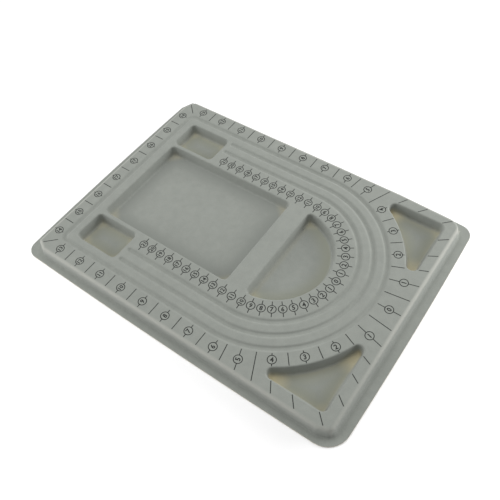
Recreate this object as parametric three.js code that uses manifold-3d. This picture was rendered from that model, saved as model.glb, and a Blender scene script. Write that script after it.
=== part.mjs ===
// Bead board: a vacuum-formed plastic tray whose upper face is flocked.
// Millimetres, +Z up. The origin lies on the table under the middle of the board, and +X points
// to the round end of the necklace channels.

import * as THREE from 'three';
import { mergeVertices } from 'three/addons/utils/BufferGeometryUtils.js';
import Module from 'manifold-3d';

const wasm = await Module();
wasm.setup();

// Whole board, over the flock
const BOARD_LENGTH = 340;
const BOARD_WIDTH = 249;
const BOARD_HEIGHT = 12.5;

// Layers, from the table up: the formed sheet, the film of glue and the flock
const SHEET = 0.8;
const GLUE = 0.1;
const FLOCK = 0.3;

// Flat lip that the board stands on, from its cut edge to the foot of the outer wall
const LIP_END = 8.2;
const LIP_SIDE = 6.7;
const LIP_CORNER = 11;
const LIP_CORNER_ROUND = 21; // one corner at the round end is trimmed rounder than the others

// Outer wall
const WALL_DRAFT = 6; // degrees
const WALL_FOOT = 0.6; // hollow radius from the lip into the wall
const WALL_INNER_SHOULDER = 1.8; // radius on the underside, where the wall turns into the top
const END_LEAN = 1.9; // how much farther out the walls of the two ends stand at their foot
const TOP_CHAMFER = 6; // cut-off corners of the flat top
const TOP_CORNER = 1.0; // radius at either end of a cut-off corner

// Bands of the flat top that carry the printed scales, up to the channels' rims
const SIDE_BAND = 13.1;
const ROUND_END_BAND = 21;
const SQUARE_END_BAND = 10.5;
const INNER_BAND = 16.3;

// Necklace channels: three concentric grooves, the outermost closed into a loop
const CHANNEL_WIDTH = 7.2; // between the rims, over their roundings
const CHANNEL_LAND = 4.8; // level strip between two channels
const CHANNEL_DEPTH = 2.4;
const CHANNEL_FLAT = 0.8; // width of the level strip along the bottom
const CHANNEL_INNER_CORNER = 2; // corners of the outermost channel, along its inner rim
const CHANNEL_END_LAND = 1.4; // from a small pocket's rim to the round end of an open channel

// Pockets
const FLOOR_CLEARANCE = 1.0; // from the table to the underside of the pockets' floors
const POCKET_DRAFT = 13; // degrees
const POCKET_FILLET = 1.6; // hollow radius around the floor
const POCKET_FLOOR_CORNER = 1.0;
const RIM_INNER_RADIUS = 0.3; // radius on the underside of every rim
const BAR = 17.8; // between the large pocket and the half-round one
const LARGE_END_LAND = 6.2; // from the outermost channel to the large pocket
const SMALL_END_LAND = 4.4; // from the outermost channel to the small pockets, at the square end
const SMALL_SIDE_LAND = 4; // the same along the sides
const SMALL_WEB = 1.2; // between the large pocket and a small one
const SMALL_LENGTH = 50.5;
const CORNER_END_LAND = 7.3; // from the edge of the flat top to a corner pocket, at the round end
const CORNER_SIDE_LAND = 8.3; // the same along the sides
const CORNER_ARC_LAND = 10.6; // from the outermost channel to a corner pocket

// Facets
const ARC_STEPS = 20; // on the half turn of a channel
const CORNER_STEPS = 3; // on a square corner
const LIP_STEPS = 6; // on a corner of the lip
const BEND_STEPS = 2; // on each bend of the sheet

// Heights and derived sizes
const LAYERS = SHEET + GLUE + FLOCK;
const RIM_RADIUS = RIM_INNER_RADIUS + LAYERS;
const SHOULDER_RADIUS = WALL_INNER_SHOULDER + LAYERS;
const FLOOR_Z = FLOOR_CLEARANCE + LAYERS;
const CLEAR = 1; // how far a cutting solid reaches past what it cuts

const WALL_BEND = {
  bottom: LAYERS,
  rise: BOARD_HEIGHT - LAYERS,
  angle: steepness(WALL_DRAFT),
  lower: WALL_FOOT,
  upper: SHOULDER_RADIUS,
};
const POCKET_BEND = {
  bottom: FLOOR_Z,
  rise: BOARD_HEIGHT - FLOOR_Z,
  angle: steepness(POCKET_DRAFT),
  lower: POCKET_FILLET,
  upper: RIM_RADIUS,
};
// A channel's side is two arcs with no straight stretch, so its angle and radii follow from its size.
const CHANNEL_SIDE = (CHANNEL_WIDTH - CHANNEL_FLAT) / 2;
const CHANNEL_ANGLE = 2 * Math.atan(CHANNEL_DEPTH / CHANNEL_SIDE);
const CHANNEL_BEND = {
  bottom: BOARD_HEIGHT - CHANNEL_DEPTH,
  rise: CHANNEL_DEPTH,
  angle: CHANNEL_ANGLE,
  lower: CHANNEL_DEPTH / (1 - Math.cos(CHANNEL_ANGLE)) - RIM_RADIUS,
  upper: RIM_RADIUS,
};
const POCKET_CORNER = POCKET_FLOOR_CORNER + spread(POCKET_BEND);

// Plan: half sizes of the lip and the flat top, and the channels' radii about the arcs' centre
const LIP_X = BOARD_LENGTH / 2;
const LIP_Y = BOARD_WIDTH / 2;
const TOP_X = LIP_X - LIP_END - END_LEAN - spread(WALL_BEND);
const TOP_Y = LIP_Y - LIP_SIDE - spread(WALL_BEND);
const CHANNEL_HALF = CHANNEL_WIDTH / 2;
const CHANNEL_PITCH = CHANNEL_WIDTH + CHANNEL_LAND;
const CHANNEL_CORNER = CHANNEL_HALF + CHANNEL_INNER_CORNER;
const OUTER_RADIUS = TOP_Y - SIDE_BAND - CHANNEL_HALF;
const MIDDLE_RADIUS = OUTER_RADIUS - CHANNEL_PITCH;
const INNER_RADIUS = MIDDLE_RADIUS - CHANNEL_PITCH;
const CENTRE_X = TOP_X - ROUND_END_BAND - CHANNEL_HALF - OUTER_RADIUS;
const LOOP_END_X = -TOP_X + SQUARE_END_BAND + CHANNEL_HALF;

// Plan of the pockets' rims
const HALF_ROUND_RADIUS = INNER_RADIUS - CHANNEL_HALF - INNER_BAND;
const LARGE_Y = HALF_ROUND_RADIUS;
const LARGE_X0 = LOOP_END_X + CHANNEL_HALF + LARGE_END_LAND;
const LARGE_X1 = CENTRE_X - BAR;
const SMALL_X0 = LOOP_END_X + CHANNEL_HALF + SMALL_END_LAND;
const SMALL_X1 = SMALL_X0 + SMALL_LENGTH;
const SMALL_Y0 = LARGE_Y + SMALL_WEB;
const SMALL_Y1 = OUTER_RADIUS - CHANNEL_HALF - SMALL_SIDE_LAND;
const CHANNEL_END_X = SMALL_X1 + CHANNEL_END_LAND + CHANNEL_HALF;
const CORNER_X = TOP_X - CORNER_END_LAND;
const CORNER_Y = TOP_Y - CORNER_SIDE_LAND;
const CORNER_ARC = OUTER_RADIUS + CHANNEL_HALF + CORNER_ARC_LAND;

/** Angle from level, in radians, of a wall with the given draft in degrees. */
function steepness(draft) {
  return Math.PI / 2 - THREE.MathUtils.degToRad(draft);
}

/** Straight stretch of a bent side, between its lower and its upper bend. */
function straight(bend) {
  return (bend.rise - (bend.lower + bend.upper) * (1 - Math.cos(bend.angle))) / Math.sin(bend.angle);
}

/** How far a bent side reaches sideways from its bottom to its top. */
function spread(bend) {
  return (bend.lower + bend.upper) * Math.sin(bend.angle) + straight(bend) * Math.cos(bend.angle);
}

/** Steps of a bent side, as [reach, height], on the parallel face that lies `depth` below the flock. */
function bentSide(bend, depth) {
  const steps = [];
  const lower = bend.lower + depth;
  const upper = bend.upper - depth;
  for (let i = 0; i <= BEND_STEPS; i++) {
    const turn = (bend.angle * i) / BEND_STEPS;
    steps.push([lower * Math.sin(turn), bend.bottom - depth + lower * (1 - Math.cos(turn))]);
  }
  const top = bend.bottom + bend.rise - depth;
  const firstUpper = straight(bend) > 0.001 ? 0 : 1;
  for (let i = firstUpper; i <= BEND_STEPS; i++) {
    const turn = bend.angle * (1 - i / BEND_STEPS);
    steps.push([spread(bend) - upper * Math.sin(turn), top - upper * (1 - Math.cos(turn))]);
  }
  return steps;
}

/** Straight edge of a figure, which runs anticlockwise. */
function line(x0, y0, x1, y1) {
  const along = Math.atan2(y1 - y0, x1 - x0);
  const normal = along - Math.PI / 2;
  const at = (reach) => [offset(x0, y0, normal, reach), offset(x1, y1, normal, reach)];
  return { start: normal, end: normal, at };
}

/** Round edge of a figure about (x, y); it bulges where it turns anticlockwise and is hollow otherwise. */
function arc(x, y, radius, from, to, steps = ARC_STEPS) {
  const bulge = Math.sign(to - from);
  const flip = bulge > 0 ? 0 : Math.PI;
  const at = (reach) => Array.from({ length: steps + 1 }, (_, i) =>
    offset(x, y, from + ((to - from) * i) / steps, radius + bulge * reach));
  return { start: from + flip, end: to + flip, at };
}

/** Point at a distance from (x, y) in the direction of an angle. */
function offset(x, y, angle, distance) {
  return new THREE.Vector2(x + distance * Math.cos(angle), y + distance * Math.sin(angle));
}

/** Outline that runs `reach` outside a figure of edges, with every corner of the figure rounded. */
function outline(edges, reach) {
  const points = [];
  edges.forEach((edge, k) => {
    const run = edge.at(reach);
    const next = edges[(k + 1) % edges.length];
    const turn = THREE.MathUtils.euclideanModulo(next.start - edge.end, 2 * Math.PI);
    const smooth = turn < 0.001 || turn > 2 * Math.PI - 0.001;
    const corner = next.at(0)[0];
    const steps = Math.max(2, Math.ceil((CORNER_STEPS * turn) / (Math.PI / 2)));
    points.push(...run.slice(0, -1));
    for (let i = 0; i < steps && !smooth; i++) {
      points.push(offset(corner.x, corner.y, edge.end + (turn * i) / steps, reach));
    }
  });
  return points;
}

/** Closed geometry through a stack of outlines with equal point counts, each given as { points, z }. */
function loft(levels) {
  const count = levels[0].points.length;
  const positions = levels.flatMap(({ points, z }) => points.flatMap((p) => [p.x, p.y, z]));
  const index = [];
  for (let k = 0; k + 1 < levels.length; k++) {
    for (let i = 0; i < count; i++) {
      const a = k * count + i;
      const b = k * count + ((i + 1) % count);
      index.push(a, b, b + count, a, b + count, a + count);
    }
  }
  const last = (levels.length - 1) * count;
  for (const [a, b, c] of THREE.ShapeUtils.triangulateShape(levels[0].points, [])) index.push(a, c, b);
  for (const [a, b, c] of THREE.ShapeUtils.triangulateShape(levels.at(-1).points, [])) {
    index.push(last + a, last + b, last + c);
  }
  const geometry = new THREE.BufferGeometry();
  geometry.setAttribute('position', new THREE.Float32BufferAttribute(positions, 3));
  geometry.setIndex(index);
  return geometry;
}

/** Solid of a closed geometry, for joining and cutting. */
function toSolid(geometry) {
  const bare = geometry.clone();
  bare.deleteAttribute('normal');
  bare.deleteAttribute('uv');
  const merged = mergeVertices(bare);
  return new wasm.Manifold(new wasm.Mesh({
    numProp: 3,
    vertProperties: Float32Array.from(merged.attributes.position.array),
    triVerts: Uint32Array.from(merged.index.array),
  }));
}

/** Geometry of a joined or cut solid. */
function toGeometry(solid) {
  const mesh = solid.getMesh();
  const geometry = new THREE.BufferGeometry();
  geometry.setAttribute('position', new THREE.Float32BufferAttribute(mesh.vertProperties, 3));
  geometry.setIndex(Array.from(mesh.triVerts));
  geometry.computeVertexNormals();
  return geometry;
}

/** Outline of the lip's cut edge. */
function lipShape() {
  const corners = [
    [1, -1, LIP_CORNER_ROUND],
    [1, 1, LIP_CORNER],
    [-1, 1, LIP_CORNER],
    [-1, -1, LIP_CORNER],
  ];
  const shape = new THREE.Shape();
  corners.forEach(([sideX, sideY, radius], k) => {
    const start = ((k - 1) * Math.PI) / 2;
    const x = sideX * (LIP_X - radius);
    const y = sideY * (LIP_Y - radius);
    shape.absarc(x, y, radius, start, start + Math.PI / 2);
  });
  return shape;
}

/** Figure inside the outer wall at a height: the flat top with its corners cut off, longer further down. */
function wallFigure(z) {
  const lean = (END_LEAN * (BOARD_HEIGHT - z)) / WALL_BEND.rise;
  const x = TOP_X - TOP_CORNER + lean;
  const y = TOP_Y - TOP_CORNER;
  const cut = TOP_CHAMFER - TOP_CORNER * (2 - Math.SQRT2);
  return closedLines([
    [x - cut, -y], [x, cut - y], [x, y - cut], [x - cut, y],
    [cut - x, y], [-x, y - cut], [-x, cut - y], [cut - x, -y],
  ]);
}

/** Figure of straight edges through corner points. */
function closedLines(corners) {
  return corners.map(([x, y], k) => line(x, y, ...corners[(k + 1) % corners.length]));
}

/** Figure inside a rectangular pocket's rim. */
function boxPocket(x0, y0, x1, y1) {
  const r = POCKET_CORNER;
  return closedLines([[x0 + r, y0 + r], [x1 - r, y0 + r], [x1 - r, y1 - r], [x0 + r, y1 - r]]);
}

/** Figure inside the half-round pocket's rim. */
function halfRoundPocket() {
  const radius = HALF_ROUND_RADIUS - POCKET_CORNER;
  const x = CENTRE_X + POCKET_CORNER;
  const half = Math.acos(POCKET_CORNER / radius);
  const y = radius * Math.sin(half);
  return [arc(CENTRE_X, 0, radius, -half, half), line(x, y, x, -y)];
}

/** Figure inside a corner pocket's rim: two straight sides and a hollow one along the channels' arc. */
function cornerPocket() {
  const radius = CORNER_ARC + POCKET_CORNER;
  const x = CORNER_X - POCKET_CORNER;
  const y = CORNER_Y - POCKET_CORNER;
  const near = Math.acos((x - CENTRE_X) / radius);
  const far = Math.asin(y / radius);
  return [
    line(x, radius * Math.sin(near), x, y),
    line(x, y, CENTRE_X + radius * Math.cos(far), y),
    arc(CENTRE_X, 0, radius, far, near, ARC_STEPS / 2),
  ];
}

/** Figure mirrored across the board's long axis. */
function mirrored(figure) {
  return figure.toReversed().map((edge) => ({
    start: -edge.end,
    end: -edge.start,
    at: (reach) => edge.at(reach).map((p) => new THREE.Vector2(p.x, -p.y)).reverse(),
  }));
}

/** Figure of an open channel's centre line, out along one leg and back. */
function openChannel(radius) {
  const quarter = Math.PI / 2;
  return [
    line(CHANNEL_END_X, -radius, CENTRE_X, -radius),
    arc(CENTRE_X, 0, radius, -quarter, quarter),
    line(CENTRE_X, radius, CHANNEL_END_X, radius),
    line(CHANNEL_END_X, radius, CENTRE_X, radius),
    arc(CENTRE_X, 0, radius, quarter, -quarter),
    line(CENTRE_X, -radius, CHANNEL_END_X, -radius),
  ];
}

/** Figure inside the closed channel's centre line. */
function loopChannel() {
  const radius = OUTER_RADIUS - CHANNEL_CORNER;
  const x = LOOP_END_X + CHANNEL_CORNER;
  const quarter = Math.PI / 2;
  return [
    line(x, -radius, CENTRE_X, -radius),
    arc(CENTRE_X, 0, radius, -quarter, quarter),
    line(CENTRE_X, radius, x, radius),
    line(x, radius, x, -radius),
  ];
}

/** Space above a figure whose sides follow a bend, open at the top. */
function cavity(figure, bend, depth, floorReach) {
  const levels = bentSide(bend, depth).map(([reach, z]) => {
    return { points: outline(figure, floorReach + reach), z };
  });
  levels.push({ points: levels.at(-1).points, z: BOARD_HEIGHT + CLEAR });
  return toSolid(loft(levels));
}

/** Space of the closed channel: what lies inside its outer side and outside its inner side. */
function loopCavity(depth) {
  const figure = loopChannel();
  const steps = bentSide(CHANNEL_BEND, depth);
  const inner = steps.map(([reach, z]) => {
    return { points: outline(figure, CHANNEL_CORNER - CHANNEL_FLAT / 2 - reach), z };
  });
  inner.unshift({ points: inner[0].points, z: inner[0].z - CLEAR });
  inner.push({ points: inner.at(-1).points, z: BOARD_HEIGHT + 2 * CLEAR });
  const outer = cavity(figure, CHANNEL_BEND, depth, CHANNEL_CORNER + CHANNEL_FLAT / 2);
  return outer.subtract(toSolid(loft(inner)));
}

/** All the spaces that are drawn into the flat top, on the parallel face at a depth. */
function cavities(depth) {
  const small = boxPocket(SMALL_X0, SMALL_Y0, SMALL_X1, SMALL_Y1);
  const corner = cornerPocket();
  const pockets = [
    boxPocket(LARGE_X0, -LARGE_Y, LARGE_X1, LARGE_Y),
    halfRoundPocket(),
    small,
    mirrored(small),
    corner,
    mirrored(corner),
  ];
  const channels = [openChannel(INNER_RADIUS), openChannel(MIDDLE_RADIUS)];
  return [
    ...pockets.map((figure) => cavity(figure, POCKET_BEND, depth, POCKET_FLOOR_CORNER)),
    ...channels.map((figure) => cavity(figure, CHANNEL_BEND, depth, CHANNEL_FLAT / 2)),
    loopCavity(depth),
  ];
}

/** Solid under the parallel face at a depth below the flock, from `base` up, without the lip. */
function form(depth, base) {
  const foot = TOP_CORNER + spread(WALL_BEND);
  const levels = bentSide(WALL_BEND, depth).map(([reach, z]) => {
    return { points: outline(wallFigure(z), foot - reach), z };
  });
  levels.unshift({ points: levels[0].points, z: base });
  return cavities(depth).reduce((solid, space) => solid.subtract(space), toSolid(loft(levels)));
}

/** One layer of the board, between the parallel faces at two depths below the flock. */
function layer(upper, lower) {
  const bottom = LAYERS - lower;
  const plate = new THREE.ExtrudeGeometry(lipShape(), {
    depth: lower - upper,
    bevelEnabled: false,
    curveSegments: LIP_STEPS,
  });
  plate.translate(0, 0, bottom);
  const solid = toSolid(plate).add(form(upper, bottom)).subtract(form(lower, bottom - CLEAR));
  return toGeometry(solid);
}

/** Named piece of the board. */
function piece(name, geometry, look) {
  const mesh = new THREE.Mesh(geometry, new THREE.MeshStandardMaterial(look));
  mesh.name = name;
  return mesh;
}

const board = new THREE.Group();
board.name = 'bead_board';
board.add(
  piece('formed_tray', layer(GLUE + FLOCK, LAYERS), { color: 0xcdc4a6, roughness: 0.45, metalness: 0 }),
  piece('flock_coat', layer(0, FLOCK), { color: 0x969b96, roughness: 1, metalness: 0 }),
);

export default board;
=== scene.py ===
"""Bead board: the formed sheet, the flock over it, its two printed scales and a plain studio.

Lengths are in metres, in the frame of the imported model: +X runs to the round end of the channels,
+Y across the board and +Z up from the table. Angles are in degrees unless a comment says radians.
"""

import logging
import math
from collections import Counter
from contextlib import contextmanager
from dataclasses import dataclass, field
from enum import Enum
from functools import reduce
from typing import Any, Iterable, Iterator, Sequence

import bpy
from mathutils import Matrix, Quaternion, Vector


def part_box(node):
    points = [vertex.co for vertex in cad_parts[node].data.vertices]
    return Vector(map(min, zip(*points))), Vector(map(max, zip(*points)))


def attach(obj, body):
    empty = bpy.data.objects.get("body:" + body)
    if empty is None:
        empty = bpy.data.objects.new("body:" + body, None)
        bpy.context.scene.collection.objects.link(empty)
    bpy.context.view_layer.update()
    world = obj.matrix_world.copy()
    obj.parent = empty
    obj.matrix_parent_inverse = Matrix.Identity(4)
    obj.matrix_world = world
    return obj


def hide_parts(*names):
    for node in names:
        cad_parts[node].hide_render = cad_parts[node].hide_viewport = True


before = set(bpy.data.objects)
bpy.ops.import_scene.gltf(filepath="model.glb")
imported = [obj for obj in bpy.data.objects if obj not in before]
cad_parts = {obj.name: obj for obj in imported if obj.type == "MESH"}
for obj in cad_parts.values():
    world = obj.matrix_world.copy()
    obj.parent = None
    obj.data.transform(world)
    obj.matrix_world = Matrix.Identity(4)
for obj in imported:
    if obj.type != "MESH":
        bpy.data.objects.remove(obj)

LOG = logging.getLogger("bead_board")
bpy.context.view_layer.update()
BODY = "root"

MM = 0.001
INCH = 25.4 * MM
TOUCH = 0.01 * MM  # two places closer than this are the same
PARALLEL = 1e-5  # sine under which a line runs along a side and never meets it
SQUARE_END = Vector((-1, 0))  # direction in which the board's square end lies

Point = tuple[float, float]
Span = tuple[float, float]  # start and end of a range
Colour = tuple[float, float, float]
Piece = bpy.types.Object
Material = bpy.types.Material


class Slot(Enum):
    """Material slots of the record."""

    PLASTIC = "tray_plastic"
    FLOCK = "flock"


class Facet(Enum):
    """Turn of one facet on a round stretch, in degrees."""

    SWEEP = 2.5  # the wide arcs of the round end
    CORNER = 11.25  # small corners and the round ends of the channels
    BEND = 10.5  # bends of the sheet, in section


class Element(Enum):
    """What is selected in an edited mesh."""

    EDGE = "EDGE"
    FACE = "FACE"


@dataclass(frozen=True)
class Arc:
    """Round stretch of an outline; it is hollow where it turns clockwise."""

    x: float
    y: float
    radius: float
    start: float
    stop: float
    facet: Facet = Facet.CORNER

    def points(self) -> list[Point]:
        """Points along the arc, both ends included.

        Returns:
            The points, in the direction of the turn.
        """
        count = max(1, round(abs(self.stop - self.start) / self.facet.value))
        turns = [math.radians(self.start + (self.stop - self.start) * i / count) for i in range(count + 1)]
        return [(self.x + self.radius * math.cos(t), self.y + self.radius * math.sin(t)) for t in turns]


Outline = list[Arc]  # closed and anticlockwise, with a straight run from each arc to the next


@dataclass(frozen=True)
class Bend:
    """Side of the sheet that turns up out of one level stretch and over into a higher one."""

    rise: float
    angle: float  # radians from level
    lower: float
    upper: float

    @property
    def straight(self) -> float:
        """Length of the flat stretch between the two turns."""
        turned = (self.lower + self.upper) * (1 - math.cos(self.angle))
        return (self.rise - turned) / math.sin(self.angle)

    @property
    def spread(self) -> float:
        """How far the side reaches sideways between its two level stretches."""
        return (self.lower + self.upper) * math.sin(self.angle) + self.straight * math.cos(self.angle)

    def moves(self, depth: float) -> list[Point]:
        """Steps from the upper level stretch down to the lower one.

        Args:
            depth: How far the stepped face lies under the face of the flock.

        Returns:
            The sideways and the downward length of each step.
        """
        count = math.ceil(math.degrees(self.angle) / Facet.BEND.value)
        turns = [self.angle * i / count for i in range(count + 1)]
        upper = self.upper - depth
        lower = self.lower + depth
        places = [(upper * math.sin(t), upper * (1 - math.cos(t))) for t in turns]
        side, drop = places[-1]
        side += self.straight * math.cos(self.angle)
        drop += self.straight * math.sin(self.angle)
        for t in reversed(turns):
            across = lower * (math.sin(self.angle) - math.sin(t))
            down = lower * (math.cos(t) - math.cos(self.angle))
            places.append((side + across, drop + down))
        steps = [(b[0] - a[0], b[1] - a[1]) for a, b in zip(places, places[1:])]
        return [step for step in steps if math.hypot(*step) > TOUCH]


@dataclass(frozen=True)
class CornerCut:
    """Corner that is cut off and then rounded."""

    along_side: float
    along_end: float
    rounding: float

    @classmethod
    def round(cls, radius: float) -> "CornerCut":
        """Corner that is one arc: the two rounded ends of its cut meet."""
        cut = radius * (2 - math.sqrt(2))
        return cls(cut, cut, radius)


@dataclass(frozen=True)
class Side:
    """Straight side of a rectangle with cut corners."""

    facing: float  # direction in which it looks out
    reach: float  # distance from the middle of the board
    rounding: float  # of the corner at its anticlockwise end

    @property
    def normal(self) -> Vector:
        """Direction in which the side looks out, as a vector."""
        return Vector((math.cos(math.radians(self.facing)), math.sin(math.radians(self.facing))))


@dataclass(frozen=True)
class CutRectangle:
    """Rectangle about the middle of the board whose corners are cut off and rounded."""

    half_x: float
    half_y: float
    cuts: tuple[CornerCut, ...]  # near right, far right, far left and near left

    def sides(self) -> list[Side]:
        """Works out the sides and the cuts between them.

        Returns:
            The sides, anticlockwise from the near one.
        """
        sides = []
        for quarter, cut in enumerate(self.cuts):
            x = 1 if quarter < 2 else -1
            y = 1 if quarter in (1, 2) else -1
            facing = 90 * quarter - 90
            sides.append(Side(facing, self.half_x if quarter % 2 else self.half_y, cut.rounding))
            slant = Vector((x * cut.along_end, y * cut.along_side)).normalized()
            reach = slant.dot(Vector((x * self.half_x, y * (self.half_y - cut.along_end))))
            angle = math.degrees(math.atan2(slant.y, slant.x))
            sides.append(Side(angle if angle > facing else angle + 360, reach, cut.rounding))
        return sides

    def outline(self, grown: float = 0) -> Outline:
        """Outline of the rectangle, or of one that is larger all round.

        Args:
            grown: How far the outline lies outside the rectangle.

        Returns:
            The arcs of its corners.
        """
        sides = self.sides()
        arcs = []
        for one, two in zip(sides, sides[1:] + sides[:1]):
            stop = two.facing if two.facing > one.facing else two.facing + 360
            a, b = one.normal, two.normal
            reach_a, reach_b = one.reach - one.rounding, two.reach - one.rounding
            x = (reach_a * b.y - reach_b * a.y) / a.cross(b)
            y = (reach_b * a.x - reach_a * b.x) / a.cross(b)
            arcs.append(Arc(x, y, one.rounding + grown, one.facing, stop))
        return arcs


@dataclass(frozen=True)
class BoardPlan:
    """Plan and section of the board over its flock; the origin is under the middle of the board."""

    length: float
    width: float
    height: float

    sheet: float = 0.8 * MM
    glue: float = 0.1 * MM
    flock: float = 0.3 * MM
    lip_end: float = 7.94 * MM
    lip_side: float = 5.44 * MM
    lip_bow: float = 1.6 * MM  # by which the sides of the lip draw in towards the corners
    lip_cuts: tuple[CornerCut, ...] = (
        CornerCut.round(19 * MM),
        CornerCut(70 * MM, 2.5 * MM, 11 * MM),
        CornerCut(5 * MM, 12.5 * MM, 1.5 * MM),
        CornerCut.round(11 * MM),
    )
    wall_draft: float = 6
    wall_foot: float = 2.0 * MM
    shoulder: float = 3.0 * MM
    end_lean: float = 0.9 * MM
    top_cuts: tuple[CornerCut, ...] = (
        CornerCut(9.5 * MM, 3 * MM, 3 * MM),
        CornerCut(60 * MM, 2.3 * MM, 9.5 * MM),
        CornerCut(5 * MM, 9 * MM, 0.6 * MM),
        CornerCut(8.6 * MM, 4.4 * MM, 1 * MM),
    )

    side_band: float = 13.1 * MM
    round_end_band: float = 21 * MM
    square_end_band: float = 10.5 * MM
    inner_band: float = 16.3 * MM

    channel_width: float = 7.2 * MM
    channel_land: float = 4.8 * MM
    channel_depth: float = 1.3 * MM
    channel_flat: float = 0.8 * MM
    channel_inner_corner: float = 2 * MM
    channel_end_land: float = 1.4 * MM

    floor_clearance: float = 1.0 * MM
    pocket_draft: float = 13
    pocket_fillet: float = 2.6 * MM
    pocket_floor_corner: float = 0.5 * MM
    rim: float = 1.5 * MM
    bar: float = 17.8 * MM
    large_end_land: float = 6.2 * MM
    small_end_land: float = 4.4 * MM
    small_side_land: float = 4.0 * MM
    small_web: float = 1.2 * MM
    small_length: float = 50.5 * MM
    corner_end_land: float = 7.3 * MM
    corner_side_land: float = 8.3 * MM
    corner_arc_land: float = 10.6 * MM
    far_corner_more: float = 1.0 * MM  # by which the corners of the far corner pocket are rounder

    support: float = 0.35 * MM  # level strip kept round every rim, so that the rim shades cleanly

    @classmethod
    def from_frame(cls) -> "BoardPlan":
        """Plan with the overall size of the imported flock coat."""
        low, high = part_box("flock_coat")
        return cls(high.x - low.x, high.y - low.y, high.z)

    @property
    def layers(self) -> float:
        """Sheet, glue and flock together."""
        return self.sheet + self.glue + self.flock

    @property
    def floor_height(self) -> float:
        """Height of the pockets' floors, over the flock."""
        return self.floor_clearance + self.layers

    @property
    def wall(self) -> Bend:
        """Outer wall, from the lip up to the flat top."""
        rise = self.height - self.layers
        return Bend(rise, math.radians(90 - self.wall_draft), self.wall_foot, self.shoulder)

    @property
    def pocket(self) -> Bend:
        """Wall of a pocket, from its floor up to the flat top."""
        rise = self.height - self.floor_height
        return Bend(rise, math.radians(90 - self.pocket_draft), self.pocket_fillet, self.rim)

    @property
    def groove(self) -> Bend:
        """Side of a channel: two like arcs with no straight stretch between them.

        Returns:
            The bend from the channel's floor up to the flat top.
        """
        side = (self.channel_width - self.channel_flat) / 2
        angle = 2 * math.atan(self.channel_depth / side)
        radius = self.channel_depth / (1 - math.cos(angle)) / 2
        return Bend(self.channel_depth, angle, radius, radius)

    @property
    def top_x(self) -> float:
        """Half length of the flat top."""
        return self.length / 2 - self.lip_end - self.end_lean - self.wall.spread

    @property
    def top_y(self) -> float:
        """Half width of the flat top."""
        return self.width / 2 - self.lip_side - self.wall.spread

    @property
    def channel_half(self) -> float:
        """Half width of a channel between its rims."""
        return self.channel_width / 2

    @property
    def channel_radii(self) -> list[float]:
        """Radii of the centre lines of the three channels, the outermost first."""
        outer = self.top_y - self.side_band - self.channel_half
        return [outer - step * (self.channel_width + self.channel_land) for step in range(3)]

    @property
    def outer_rim(self) -> float:
        """Radius of the outermost rim of the channels."""
        return self.channel_radii[0] + self.channel_half

    @property
    def centre_x(self) -> float:
        """Place of the arcs' common centre along the board."""
        return self.top_x - self.round_end_band - self.outer_rim

    @property
    def loop_end_x(self) -> float:
        """Centre line of the outermost channel across the square end."""
        return -self.top_x + self.square_end_band + self.channel_half

    @property
    def half_round_radius(self) -> float:
        """Radius of the half-round pocket's rim."""
        return self.channel_radii[2] - self.channel_half - self.inner_band

    @property
    def large_box(self) -> tuple[float, float, float, float]:
        """Rim of the large pocket, as its least and greatest x and its least and greatest y."""
        start = self.loop_end_x + self.channel_half + self.large_end_land
        return start, self.centre_x - self.bar, -self.half_round_radius, self.half_round_radius

    @property
    def small_box(self) -> tuple[float, float, float, float]:
        """Rim of the far small pocket.

        Returns:
            Its least and greatest x, and its least and greatest y.
        """
        start = self.loop_end_x + self.channel_half + self.small_end_land
        far = self.channel_radii[0] - self.channel_half - self.small_side_land
        return start, start + self.small_length, self.half_round_radius + self.small_web, far

    @property
    def channel_end_x(self) -> float:
        """Centre of the round ends of the open channels."""
        return self.small_box[1] + self.channel_end_land + self.channel_half

    @property
    def corner_x(self) -> float:
        """Rim of the corner pockets towards the round end of the board."""
        return self.top_x - self.corner_end_land

    @property
    def corner_y(self) -> float:
        """Rim of the corner pockets towards the long sides of the board."""
        return self.top_y - self.corner_side_land

    @property
    def corner_arc(self) -> float:
        """Radius of the corner pockets' hollow rim."""
        return self.outer_rim + self.corner_arc_land

    @property
    def pocket_corner(self) -> float:
        """Corner radius of a pocket's rim."""
        return self.pocket_floor_corner + self.pocket.spread

    @property
    def top(self) -> CutRectangle:
        """Flat top inside its shoulder."""
        return CutRectangle(self.top_x, self.top_y, self.top_cuts)

    def lip_outline(self) -> Outline:
        """Cut edge of the lip, trimmed by hand, before its sides are bowed."""
        return CutRectangle(self.length / 2, self.width / 2, self.lip_cuts).outline()

    def foot_outline(self) -> Outline:
        """Foot of the outer wall on the lip."""
        return self.top.outline(self.wall.spread)

    def box_outline(self, x0: float, x1: float, y0: float, y1: float) -> Outline:
        """Rectangular pocket with round corners.

        Args:
            x0: Least x of its rim.
            x1: Greatest x.
            y0: Least y.
            y1: Greatest y.

        Returns:
            The outline.
        """
        corner = self.pocket_corner
        radius = corner + self.support
        return [
            Arc(x1 - corner, y0 + corner, radius, -90, 0),
            Arc(x1 - corner, y1 - corner, radius, 0, 90),
            Arc(x0 + corner, y1 - corner, radius, 90, 180),
            Arc(x0 + corner, y0 + corner, radius, 180, 270),
        ]

    def half_round_outline(self) -> Outline:
        """Half-round pocket, with its straight side across the board.

        Returns:
            The outline.
        """
        corner = self.pocket_corner
        core = self.half_round_radius - corner
        half = math.degrees(math.acos(corner / core))
        x = self.centre_x + corner
        y = core * math.sin(math.radians(half))
        radius = corner + self.support
        return [
            Arc(self.centre_x, 0, self.half_round_radius + self.support, -half, half, Facet.SWEEP),
            Arc(x, y, radius, half, 180),
            Arc(x, -y, radius, 180, 360 - half),
        ]

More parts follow.
